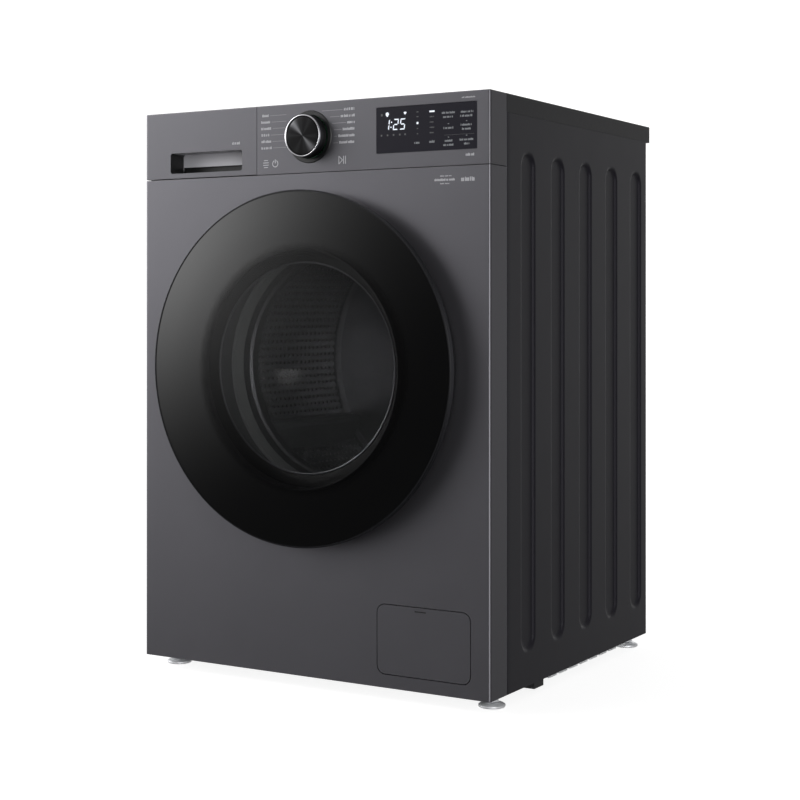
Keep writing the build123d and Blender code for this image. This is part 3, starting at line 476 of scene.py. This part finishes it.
# ------------------------------------------------------------------ camera
cam_data = bpy.data.cameras.new("camera")
cam = bpy.data.objects.new("camera", cam_data)
scene.collection.objects.link(cam)
cam_data.sensor_width = 36.0
cam_data.lens = 73.64
cam_data.shift_x = 0.0
cam_data.shift_y = -0.1203
cam_data.clip_start, cam_data.clip_end = 0.05, 60.0
yaw = math.radians(30.958)
cam.location = pt(1334.5, -1962.4, 559.0)
cam.rotation_euler = (math.radians(90), 0, yaw)
scene.camera = cam

# ------------------------------------------------------------------ light, floor and backdrop
world = bpy.data.worlds.new("studio")
scene.world = world
world.use_nodes = True
wn = world.node_tree
bg = wn.nodes["Background"]
tcw = wn.nodes.new("ShaderNodeTexCoord")


def lobe(direction, power, gain):
    """A soft patch of light in the sky: gain times the cosine to the direction, raised to a power."""
    d = Vector(direction).normalized()
    dot = wn.nodes.new("ShaderNodeVectorMath")
    dot.operation = "DOT_PRODUCT"
    nrm = wn.nodes.new("ShaderNodeVectorMath")
    nrm.operation = "NORMALIZE"
    wn.links.new(tcw.outputs["Generated"], nrm.inputs[0])
    wn.links.new(nrm.outputs[0], dot.inputs[0])
    dot.inputs[1].default_value = d
    c = math_node(wn, "MAXIMUM", dot.outputs["Value"], 0.0)
    return math_node(wn, "MULTIPLY", math_node(wn, "POWER", c, power), gain)


LOBES = (
    ((-0.05, -0.12, 1.0), 3.0, 0.50),      # overhead
    ((0.66, -0.75, 0.06), 12.0, 4.4),      # narrow strip on the right of the camera
    ((-0.25, 0.96, 0.12), 16.0, 1.8),      # behind, left
    ((0.55, 0.82, 0.12), 6.0, 0.22),       # behind, right
)
total = 0.065
for direction, power, gain in LOBES:
    total = math_node(wn, "ADD", lobe(direction, power, gain), total)
# the main soft box: wide, to the front left, with a soft lower edge at about the machine's height
sky = wn.nodes.new("ShaderNodeVectorMath")
sky.operation = "NORMALIZE"
wn.links.new(tcw.outputs["Generated"], sky.inputs[0])
sky_z = wn.nodes.new("ShaderNodeSeparateXYZ")
wn.links.new(sky.outputs[0], sky_z.inputs[0])
edge = wn.nodes.new("ShaderNodeMapRange")
edge.interpolation_type = "SMOOTHSTEP"
edge.inputs["From Min"].default_value = -0.32
edge.inputs["From Max"].default_value = 0.42
edge.inputs["To Min"].default_value = 0.02
edge.inputs["To Max"].default_value = 1.0
wn.links.new(sky_z.outputs[2], edge.inputs["Value"])
box_light = math_node(wn, "MULTIPLY", lobe((-0.96, -0.36, 0.25), 11.0, 11.2), edge.outputs["Result"])
total = math_node(wn, "ADD", total, box_light)
wn.links.new(total, bg.inputs["Strength"])
bg.inputs["Color"].default_value = (1.0, 1.0, 1.0, 1)


def stage_material(name, tone, own_light):
    m, nt, b = new_mat(name)
    v = coords(nt)
    nt.links.new(ramp(nt, noise(nt, v, 0.6, 2), [(0.2, (tone * 0.99, tone * 0.99, tone * 0.99, 1)), (0.8, (tone, tone, tone, 1))]), b.inputs["Base Color"])
    b.inputs["Roughness"].default_value = 0.8
    b.inputs["Emission Color"].default_value = (1, 1, 1, 1)
    b.inputs["Emission Strength"].default_value = own_light
    return m


floor = mesh_object("floor", [(-14, -14, 0), (14, -14, 0), (14, 14, 0), (-14, 14, 0)], [(0, 1, 2, 3)])
floor.data.materials.append(stage_material("pale_floor", 0.30, 0.88))
floor.visible_glossy = False
floor.visible_diffuse = False
shell_v, shell_f = [], []
for k in range(48):
    a = 2 * math.pi * k / 48
    for r, zz in ((15.0, -0.5), (15.0, 3.0), (13.0, 8.0), (7.0, 12.0), (0.5, 13.5)):
        shell_v.append((r * math.cos(a), r * math.sin(a), zz))
for k in range(48):
    for i in range(4):
        k2 = (k + 1) % 48
        shell_f.append((k * 5 + i, k2 * 5 + i, k2 * 5 + i + 1, k * 5 + i + 1))
backdrop = mesh_object("backdrop", shell_v, shell_f)
backdrop.data.materials.append(stage_material("pale_backdrop", 0.3, 0.93))
for flag in ("visible_glossy", "visible_diffuse", "visible_transmission", "visible_shadow", "visible_volume_scatter"):
    setattr(backdrop, flag, False)
scene.view_settings.view_transform = "Standard"
scene.view_settings.look = "None"
scene.view_settings.exposure = 0.0
scene.view_settings.gamma = 1.0

# ------------------------------------------------------------------ finish of single faces on the CAD nodes
def paint_faces(node, mat, test):
    """Gives a second material to the faces for which test(centre in millimetres from the front panel, normal) is true."""
    me = nodes[node].data
    me.materials.append(M[mat])
    k = len(me.materials) - 1
    for p in me.polygons:
        c = p.center
        if test((c.x * 1000, c.y * 1000 - Y_SHIFT, c.z * 1000), p.normal):
            p.material_index = k


def in_pocket(c):
    return -251.6 < c[0] < -115.4 and 756.4 < c[2] < 788.6 and c[1] > 0.3 and c[1] < 36.5


# painted shade: every face inside the drawer pocket is painted near-black
paint_faces("drawer_front", "pocket", lambda c, n: in_pocket(c))
# painted light: the pocket's front-facing back plate and its ceiling get the lighter paint
paint_faces("drawer_front", "pocket_back", lambda c, n: in_pocket(c) and ((n.y < -0.9 and 31.0 < c[1] < 33.0 and c[2] > 764) or (n.z < -0.9 and c[2] > 786)))
paint_faces("base_pan", "white_plastic", lambda c, n: c[2] < 20.2 and abs(c[0]) > 280)
# painted shade: the hatch cover's finger slot is painted near-black
paint_faces("hatch_cover", "pocket", lambda c, n: 181 < c[0] < 199 and 129 < c[2] < 132 and c[1] > 0.3 and c[1] < 1.2)

for name, obj in nodes.items():
    obj.data.shade_smooth()
    obj.data.set_sharp_from_angle(angle=math.radians(24))


# ------------------------------------------------------------------ side panels with pressed ribs
RIBS = [115 + 97 * i for i in range(5)]
RIB_Z0, RIB_Z1 = 65.0, 775.0


def rib_depth(y, z):
    for yc in RIBS:
        if abs(y - yc) < 27:
            zc = min(max(z, RIB_Z0 + 24), RIB_Z1 - 24)
            rho = math.hypot(y - yc, z - zc)
            t = min(max((rho - 15.5) / (24.0 - 15.5), 0.0), 1.0)
            t = 1 - (1 - t) ** 1.35
            return 4.0 * (1 - t * t * (3 - 2 * t))
    return 0.0


def side_skin(name, sign):
    path = [(286.0, 49.0, 0.0, -1.0)]
    for k in range(7):
        a = math.pi / 2 * k / 6
        path.append((298.4 + 1.6 * math.sin(a), 50.6 - 1.6 * math.cos(a), math.sin(a), -math.cos(a)))
    ys = []
    for yc in RIBS:
        ys += [yc + s * (15 + 0.9 * k) for s in (-1, 1) for k in range(12)] + [yc + d for d in (-10, -4, 0, 4, 10)]
    ys += [60, 75, 84, 545.0]
    for y in sorted(set(round(v, 3) for v in ys)):
        if 51 < y < 545.5:
            path.append((300.0, y, 1.0, 0.0))
    for k in range(7):
        a = math.pi / 2 * k / 6
        path.append((297.6 + 2.4 * math.cos(a), 545.6 + 2.4 * math.sin(a), math.cos(a), math.sin(a)))
    path.append((280.0, 548.0, 0.0, 1.0))
    zs = [19.0, 20.2, 30, 45, 56] + [62 + 1.1 * k for k in range(28)] + [110, 170, 240, 310, 380, 450, 520, 590, 660, 720] + [748 + 1.1 * k for k in range(28)] + [790, 806, 822.6, 823.8]
    verts, faces = [], []
    rows, cols = len(zs), len(path)
    for layer in (0.0, 0.8):
        for z in zs:
            for x, y, nx, ny in path:
                d = rib_depth(y, z) if x > 299.9 else 0.0
                verts.append(pt(sign * (x - nx * layer - d), y - ny * layer, z))
    per = rows * cols
    for r in range(rows - 1):
        for c in range(cols - 1):
            a, b = r * cols + c, r * cols + c + 1
            faces.append((a, b, b + cols, a + cols))
            faces.append((per + a, per + a + cols, per + b + cols, per + b))
    for c in range(cols - 1):
        faces.append((c, per + c, per + c + 1, c + 1))
        t = (rows - 1) * cols + c
        faces.append((t, t + 1, per + t + 1, per + t))
    for r in range(rows - 1):
        a = r * cols
        faces.append((a, a + cols, per + a + cols, per + a))
        b = r * cols + cols - 1
        faces.append((b, per + b, per + b + cols, b + cols))
    return mesh_object(name, verts, faces)


for side, sign in (("right", 1), ("left", -1)):
    skin = side_skin("side_panel_" + side, sign)
    finish_piece(skin, M["side_paint"], "cabinet", (side + "_side_panel",), 40)
    fl = []
    for x0, x1, y0, y1, z0, z1 in ((296.5, 299.1, 50, 547, 19.0, 19.8), (286, 299.1, 50, 547, 823.0, 823.8)):
        fl.append((x0, x1, y0, y1, z0, z1))
    fv, ff = [], []
    for x0, x1, y0, y1, z0, z1 in fl:
        s = len(fv)
        for x in (x0, x1):
            for y in (y0, y1):
                for z in (z0, z1):
                    fv.append(pt(sign * x, y, z))
        ff += [(s, s + 1, s + 3, s + 2), (s + 4, s + 6, s + 7, s + 5), (s, s + 4, s + 5, s + 1), (s + 2, s + 3, s + 7, s + 6), (s, s + 2, s + 6, s + 4), (s + 1, s + 5, s + 7, s + 3)]
    flange = mesh_object("side_flange_" + side, fv, ff)
    finish_piece(flange, M["side_paint"], "cabinet", (), 30)

# ------------------------------------------------------------------ program dial
DX, DZ = 5.0, 800.5
body_profile = [(28.2, -17.5), (28.6, -17.6), (30.4, -17.6), (30.75, -17.3), (30.95, -15.5), (31.0, -12.0), (31.0, -2.6), (30.6, -1.9), (29.0, -1.8), (28.5, -2.2), (28.5, -13.5), (27.5, -14.2), (6, -14.2), (6, 2), (3.2, 2), (3, 2.4), (3, 13), (0, 13), (0, -15.5), (26, -15.5)]
knob = lathe("dial_knob", rounded_profile(body_profile, 0.25, 2), DX, DZ, 160)
finish_piece(knob, M["black_gloss"], "dial", ("program_dial",), 35)
face_profile = [(0, -18.6), (8, -18.58), (18, -18.5), (25.5, -18.35), (27.6, -18.2), (28.1, -17.9), (28.1, -16.0), (0, -16.0)]
face = lathe("dial_face", face_profile, DX, DZ, 160)
# the dial face's base colour carries painted highlights
finish_piece(face, M["spun"], "dial", (), 50)
ring_profile = rounded_profile([(28.3, -17.4), (28.45, -19.4), (29.2, -20.15), (29.9, -20.05), (30.5, -19.2), (30.6, -17.4)], [0, 0.3, 0.5, 0.5, 0.4, 0], 5)
ring = lathe("dial_rim", ring_profile, DX, DZ, 160)
finish_piece(ring, M["chrome"], "dial", ("dial_ring",), 60)

# ------------------------------------------------------------------ printed marks on the fascia and lit marks in the display
INK0, INK1 = -0.10, 0.05


def greek(x0, x1, z, h, seed, fill=0.72):
    """A row of small upright marks with word gaps, standing in for a line of small print."""
    out = []
    x = x0
    k = seed
    while x < x1 - 0.4:
        k = (k * 1103515245 + 12345) % 2147483648
        w = 0.85 + 0.5 * ((k >> 8) % 100) / 100
        tall = h if (k >> 16) % 3 else h * 1.25
        if x + w > x1:
            break
        out.append(bar(x, x + w, z - h / 2, z - h / 2 + tall))
        x += w + (0.42 if (k >> 20) % 6 else 1.5)
    return out


left_rows = [(-79.0, -67.5), (-81.0, -64.5), (-81.0, -62.5), (-80.5, -66.0), (-80.5, -63.0), (-80.5, -62.0)]
right_rows = [(64.0, 82.0), (58.5, 83.0), (69.5, 83.0), (62.0, 83.0), (54.5, 83.0), (56.0, 83.0)]
text_polys, line_polys = [], []
for i, (x0, x1) in enumerate(left_rows):
    z = 835.0 - 9.5 * i
    text_polys += greek(x0, x1, z, 3.0, 11 + i)
    end = DX - math.sqrt(max(41.0 ** 2 - min(abs(z - DZ), 40.0) ** 2, 60.0)) - 1.5
    line_polys.append(bar(x1 + 2.0, min(end, -36.0), z - 0.30, z + 0.30))
for i, (x0, x1) in enumerate(right_rows):
    z = 836.5 - 9.4 * i
    text_polys += greek(x0, x1, z, 3.0, 41 + i)
    start = DX + math.sqrt(max(41.0 ** 2 - min(abs(z - DZ), 40.0) ** 2, 60.0)) + 1.5
    if start < x0 - 3:
        line_polys.append(bar(max(start, 40.0) if i else start, x0 - 2.0, z - 0.30, z + 0.30))
text_polys += greek(-134, -120, 797.5, 3.2, 5)
text_polys += greek(256, 277, 841.0, 1.5, 71) + greek(262, 276, 762.5, 3.0, 73)
prints = plates("fascia_print", text_polys, INK0, INK1)
finish_piece(prints, M["print_light"], "cabinet", ())
leaders = plates("fascia_leader_lines", line_polys, INK0 + 0.02, INK1)
finish_piece(leaders, M["print_dim"], "cabinet", ())
icons = ring_poly(-55.8, 764.2, 4.1, 5.3, 112, 428, 30) + [bar(-56.4, -55.2, 764.8, 770.4)]
icons += [bar(-76.0, -69.0, 769.0, 770.0), bar(-77.5, -67.5, 765.6, 766.6), bar(-77.5, -67.5, 762.2, 763.2), bar(-76.0, -69.0, 758.8, 759.8)]
icons += [stroke(55.4, 758.8, 55.4, 770.2, 1.1), stroke(55.4, 770.2, 61.6, 764.5, 1.1), stroke(55.4, 758.8, 61.6, 764.5, 1.1), bar(62.8, 64.0, 758.8, 770.2), bar(66.0, 67.2, 758.8, 770.2)]
icon_obj = plates("fascia_icons", icons, INK0, INK1)
finish_piece(icon_obj, M["print_light"], "cabinet", ())
badge = greek(213, 245, 729.5, 2.6, 91) + greek(222, 240, 734.8, 1.2, 93) + greek(222, 238, 724.3, 1.2, 95) + greek(255, 276, 729.0, 4.6, 97)
badge_obj = plates("panel_print", badge, INK0, INK1)
finish_piece(badge_obj, M["print_light"], "cabinet", ())

GL0, GL1 = -0.08, 0.06
bright, dim, faint = [], [], []


def seg_digit(x, z, w, h, on, t=1.7, slant=0.12):
    """A seven-segment figure with its lower left corner at (x, z)."""
    def sk(poly):
        return [(px + (pz - z) * slant, pz) for px, pz in poly]
    m = z + h / 2
    g = 0.35
    segs = {
        "a": [(x + g, z + h), (x + w - g, z + h), (x + w - t, z + h - t), (x + t, z + h - t)],
        "d": [(x + t, z + t), (x + w - t, z + t), (x + w - g, z), (x + g, z)],
        "g": [(x + t * 0.6 + g, m), (x + t + g, m + t / 2), (x + w - t - g, m + t / 2), (x + w - t * 0.6 - g, m), (x + w - t - g, m - t / 2), (x + t + g, m - t / 2)],
        "f": [(x, m + g), (x, z + h - g), (x + t, z + h - t - g), (x + t, m + t / 2 + g)],
        "b": [(x + w - t, m + t / 2 + g), (x + w - t, z + h - t - g), (x + w, z + h - g), (x + w, m + g)],
        "e": [(x, z + g), (x, m - g), (x + t, m - t / 2 - g), (x + t, z + t + g)],
        "c": [(x + w - t, z + t + g), (x + w - t, m - t / 2 - g), (x + w, m - g), (x + w, z + g)],
    }
    return [sk(segs[s]) for s in on]


bright += seg_digit(131.0, 802.4, 8.2, 15.6, "bc")
bright += [disc_poly(142.6, 806.6, 1.05), disc_poly(143.5, 813.6, 1.05)]
bright += seg_digit(145.4, 802.4, 8.4, 15.6, "abged") + seg_digit(156.4, 802.4, 8.4, 15.6, "afgcd")
bright += [disc_poly(136.5, 825.2, 2.7), bar(135.3, 137.7, 821.6, 823.2)]
bright += [[(165.6, 822.8), (168.3, 826.2), (165.6, 827.4), (162.9, 826.2)]]
bright += [disc_poly(185.7, 810.1, 1.7), bar(204.8, 213.0, 823.9, 826.2)]
# the unlit marks below glow faintly: painted glow
faint += [bar(126.2, 128.8, 822.8, 826.0), bar(184.2, 187.2, 825.0, 826.2), bar(184.2, 187.2, 818.4, 819.6)]
faint += [bar(184.6, 186.8, 802.0, 803.2), bar(184.6, 186.8, 794.6, 795.8)]
for zc in (817.7, 810.3, 802.9, 795.6):
    faint += greek(205.4, 212.4, zc, 1.5, int(zc))
for xc in (127, 137, 146.8, 157, 165.6):
    faint += [bar(xc - 1.2, xc + 1.2, 794.4, 796.8)]
faint += [bar(228, 275, 790.9, 791.2)]
dim += greek(180.6, 190.8, 782.6, 2.6, 21) + greek(204.6, 213.2, 782.9, 2.6, 23)
for x0, x1, z in ((224.6, 245.6, 821.6), (226.6, 243.4, 815.9), (227.2, 243.0, 800.6), (229.2, 241.2, 782.9), (227.0, 243.0, 777.2), (254.4, 273.6, 821.4), (253.6, 273.6, 815.8), (254.2, 272.8, 803.6), (256.2, 270.6, 798.0), (252.6, 274.4, 783.4), (259.4, 268.4, 777.8)):
    dim += greek(x0, x1, z, 2.3, int(z * 3 + x0))
for xc, z in ((235, 788.0), (263.4, 809.0), (263.4, 789.2), (235, 806.5)):
    dim += [bar(xc - 0.9, xc + 0.9, z - 0.5, z + 0.5)]
for nm, polys, mat in (("display_lit_figures", bright, "led_white"), ("display_labels", dim, "led_dim"), ("display_unlit_marks", faint, "unlit_marks_painted_glow")):
    o = plates(nm, polys, GL0, GL1)
    finish_piece(o, M[mat], "cabinet", ())

# ------------------------------------------------------------------ door gasket: one soft bellows from the panel's mouth to the tub's neck
def smooth_line(points, steps=7):
    """Catmull-Rom through the points."""
    pts_ = [Vector(p) for p in points]
    pts_ = [pts_[0] * 2 - pts_[1]] + pts_ + [pts_[-1] * 2 - pts_[-2]]
    out = []
    for i in range(1, len(pts_) - 2):
        p0, p1, p2, p3 = pts_[i - 1:i + 3]
        for k in range(steps):
            t = k / steps
            out.append(0.5 * ((2 * p1) + (p2 - p0) * t + (2 * p0 - 5 * p1 + 4 * p2 - p3) * t * t + (3 * p1 - p0 - 3 * p2 + p3) * t ** 3))
    out.append(pts_[-2])
    return out


def strip_profile(points, thick, steps=7):
    line = smooth_line(points, steps)
    left, right = [], []
    for i, p in enumerate(line):
        d = line[min(i + 1, len(line) - 1)] - line[max(i - 1, 0)]
        d.normalize()
        n = Vector((-d.y, d.x))
        t = thick / 2
        left.append(tuple(p + n * t))
        right.append(tuple(p - n * t))
    return left + right[::-1]


gasket = lathe("gasket_bellows", strip_profile([(172.8, 25.3), (176.4, 22.0), (180.5, 20.0), (183.6, 20.8), (184.5, 24.0), (185.6, 28.2), (190.0, 31.4), (196.5, 33.2), (200.0, 36.0), (198.6, 40.2), (192.8, 42.6), (188.4, 46.2), (186.6, 52), (185.2, 60), (184.9, 70), (184.9, 80)], 2.8, 4), 0, DOOR_Z, 144)
finish_piece(gasket, M["gasket"], None, ("door_gasket",), 50)
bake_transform(gasket)

# ------------------------------------------------------------------ window edge behind the door glass
mask_ring = lathe("door_window_mask", rounded_profile([(154.0, -5.6), (172.3, -5.6), (172.3, -4.6), (154.0, -4.6)], 0.2, 2), 0, DOOR_Z, 144)
finish_piece(mask_ring, M["pocket"], "door", (), 40)
edge_ring = lathe("door_window_edge", rounded_profile([(151.6, -6.2), (152.6, -6.6), (154.0, -6.4), (154.4, -5.4), (153.2, -4.6), (151.8, -4.9)], 0.4, 4), 0, DOOR_Z, 144)
finish_piece(edge_ring, M["dull_steel"], "door", (), 60)

# ------------------------------------------------------------------ perforated drum shell
def drum_shell():
    ncol, nrow = 126, 28
    y0, y1 = 112.6, 454.6
    r_in, r_out = 242.1, 242.9
    pitch_y = (y1 - y0) / nrow
    verts, faces = [], []
    index = {}

    def vert(key, ang, y, r):
        k = (key, r)
        if k not in index:
            index[k] = len(verts)
            verts.append(pt(r * math.cos(ang), y, DOOR_Z + r * math.sin(ang)))
        return index[k]
    da = 2 * math.pi / ncol
    hole = 2.3
    for j in range(nrow):
        for i in range(ncol):
            a0, a1 = i * da, (i + 1) * da
            ya, yb = y0 + j * pitch_y, y0 + (j + 1) * pitch_y
            ac, yc = (a0 + a1) / 2, (ya + yb) / 2
            solid = j in (0, nrow - 1)
            bulge = 1.6
            for r in (r_in, r_out):
                g = [vert(("g", 2 * i, 2 * j), a0, ya, r), vert(("g", 2 * i + 1, 2 * j), ac, ya, r), vert(("g", (2 * i + 2) % (2 * ncol), 2 * j), a1, ya, r),
                     vert(("g", (2 * i + 2) % (2 * ncol), 2 * j + 1), a1, yc, r), vert(("g", (2 * i + 2) % (2 * ncol), 2 * j + 2), a1, yb, r),
                     vert(("g", 2 * i + 1, 2 * j + 2), ac, yb, r), vert(("g", 2 * i, 2 * j + 2), a0, yb, r), vert(("g", 2 * i, 2 * j + 1), a0, yc, r)]
                if solid:
                    faces.append(tuple(g) if r == r_in else tuple(g[::-1]))
                    continue
                h = []
                for k in range(8):
                    t = math.radians(225 + 45 * k)
                    h.append(vert(("h", i, j, k), ac + hole * math.cos(t) / r_in, yc + hole * math.sin(t), r - (0.5 if r == r_in else -0.0)))
                for k in range(8):
                    k2 = (k + 1) % 8
                    faces.append((g[k], g[k2], h[k2], h[k]) if r == r_in else (g[k2], g[k], h[k], h[k2]))
            if not solid:
                hi = [index[(("h", i, j, k), r_in - 0.5)] for k in range(8)]
                ho = [index[(("h", i, j, k), r_out)] for k in range(8)]
                for k in range(8):
                    k2 = (k + 1) % 8
                    faces.append((hi[k], hi[k2], ho[k2], ho[k]))
    return mesh_object("drum_perforated_shell", verts, faces, pt(0, 0, DOOR_Z))


shell = drum_shell()
finish_piece(shell, M["stainless"], "drum", ("drum_shell",), 60)

# ------------------------------------------------------------------ levelling feet
def foot_piece(tag, x, y):
    disc = lathe_z(tag + "_plate", rounded_profile([(0, 0), (17.6, 0), (19.0, 1.2), (19.0, 3.4), (16.5, 5.0), (11.0, 6.4), (0, 7.0)], [0, 0.6, 0.8, 0.8, 1.5, 1.5, 0], 4), x, y, 64)
    finish_piece(disc, M["foot_zinc"], tag, (tag,), 40)
    rr = []
    z = 7.0
    rr.append((0, z))
    while z < 33.0:
        rr += [(4.35, z), (4.95, z + 0.45), (4.95, z + 0.8), (4.35, z + 1.25)]
        z += 1.5
    rr += [(4.35, 34.5), (3.6, 35.5), (0, 35.5)]
    stud = lathe_z(tag + "_stud", rr, x, y, 32)
    finish_piece(stud, M["foot_zinc"], tag, (), 35)
    verts, faces = [], []
    for zz, k_r in ((7.2, 0.94), (7.8, 1.0), (12.2, 1.0), (12.9, 0.94)):
        for k in range(6):
            a = math.radians(60 * k + 12)
            verts.append(pt(x + 9.7 * k_r * math.cos(a), y + 9.7 * k_r * math.sin(a), zz))
    for l in range(3):
        for k in range(6):
            faces.append((l * 6 + k, l * 6 + (k + 1) % 6, l * 6 + 6 + (k + 1) % 6, l * 6 + 6 + k))
    faces += [tuple(range(5, -1, -1)), tuple(range(18, 24))]
    nut = mesh_object(tag + "_nut", verts, faces)
    finish_piece(nut, M["foot_zinc"], tag, (), 20)


M["foot_zinc"] = surface("bright_zinc", grey(236, 237, 240), vary=0.06, var_scale=50, metallic=0.3, rough=0.36, rough_vary=0.08, bump=0.1, bump_scale=700, bump_dist=0.00004)
for tag, x, y in (("foot_front_left", -275, 52), ("foot_front_right", 275, 52), ("foot_rear_left", -275, 522), ("foot_rear_right", 275, 522)):
    foot_piece(tag, x, y)
